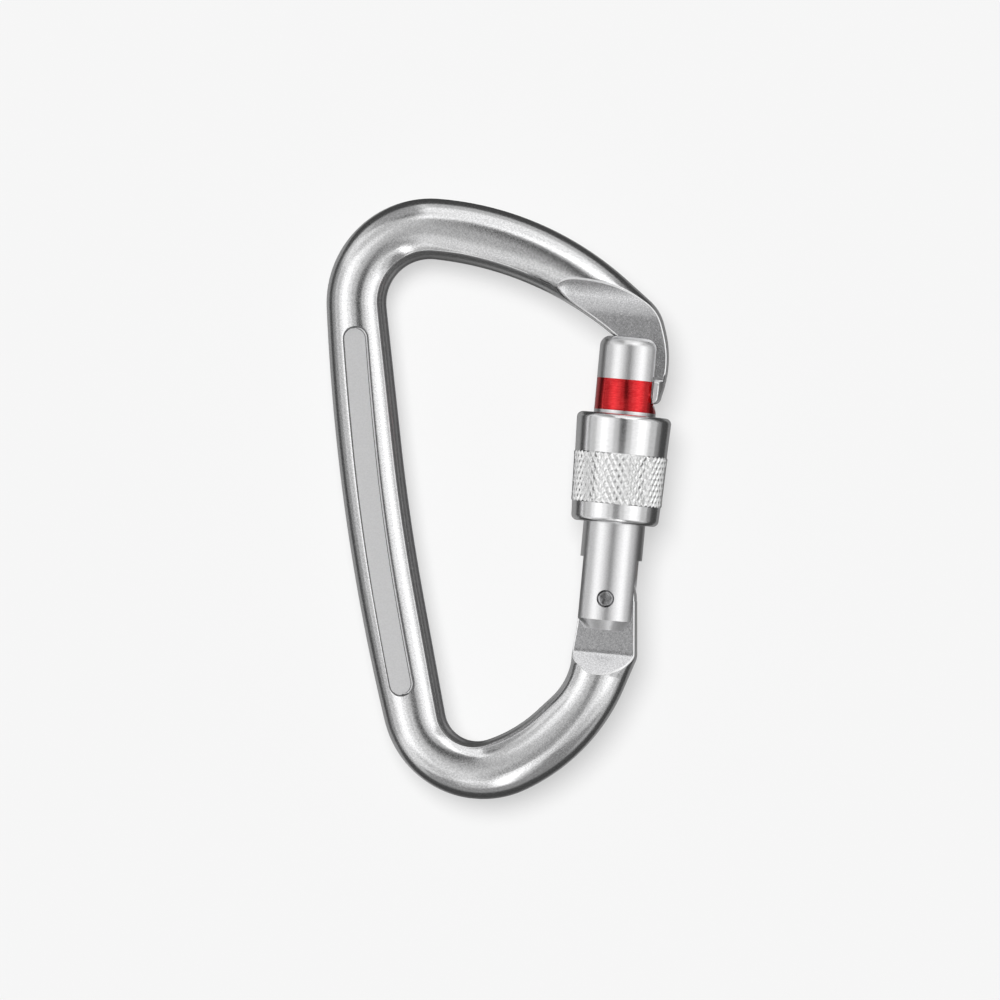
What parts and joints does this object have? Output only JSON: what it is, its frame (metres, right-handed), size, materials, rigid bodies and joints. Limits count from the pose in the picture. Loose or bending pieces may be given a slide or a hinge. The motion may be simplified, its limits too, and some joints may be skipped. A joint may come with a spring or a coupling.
{
  "type": "locking carabiner",
  "caption": "D-shaped screw-lock carabiner: a forged bar frame with a sprung gate, whose knurled sleeve screws up over the nose to lock it.",
  "frame": {"origin": "middle of the bounding box, on the frame's mid-plane", "axes": "+Y along the gate from the hinge to the nose, +X from the spine to the gate, +Z out of the front face"},
  "size_m": [0.061, 0.1018, 0.0162],
  "materials": {
    "frame_aluminium": "tumbled bright forged aluminium",
    "gate_aluminium": "turned and satin polished aluminium",
    "sleeve_aluminium": "turned aluminium with a diamond knurl",
    "rivet_steel": "peened stainless steel",
    "red_band": "glossy red anodised",
    "spring_steel": "drawn spring wire",
    "plunger_brass": "turned brass"
  },
  "bodies": {
    "frame": {"frame": "frame_aluminium"},
    "gate": {"gate": "gate_aluminium", "hinge_rivet": "rivet_steel", "warning_band": "red_band", "gate_spring": "spring_steel"},
    "plunger": {"spring_plunger": "plunger_brass"},
    "drag_ring": {"drag_ring": "spring_steel"},
    "sleeve": {"lock_sleeve": "sleeve_aluminium"}
  },
  "joints": [
    {"name": "gate_hinge", "type": "hinge", "parent": "frame", "child": "gate", "pos_m": [0.02241, -0.01466, 0], "axis": [0, 0, 1], "range_deg": [0, 40], "stiffness_Nm_per_rad": 0.3, "springref_deg": -28.65},
    {"name": "plunger_slide", "type": "slide", "parent": "gate", "child": "plunger", "axis": [0, 1, 0], "range_m": [0, 0.0008], "deforming": ["gate_spring"]},
    {"name": "sleeve_travel", "type": "slide", "parent": "gate", "child": "drag_ring", "axis": [0, 1, 0], "range_m": [0, 0.007]},
    {"name": "sleeve_turn", "type": "hinge", "parent": "drag_ring", "child": "sleeve", "pos_m": [0.02241, 0, 0], "axis": [0, 1, 0], "range_deg": [0, 1260]}
  ],
  "couplings": [
    {"joint": "plunger_slide", "follows": "gate_hinge", "m_per_rad": 0.001},
    {"joint": "sleeve_travel", "follows": "sleeve_turn", "m_per_rad": 0.00031831}
  ]
}
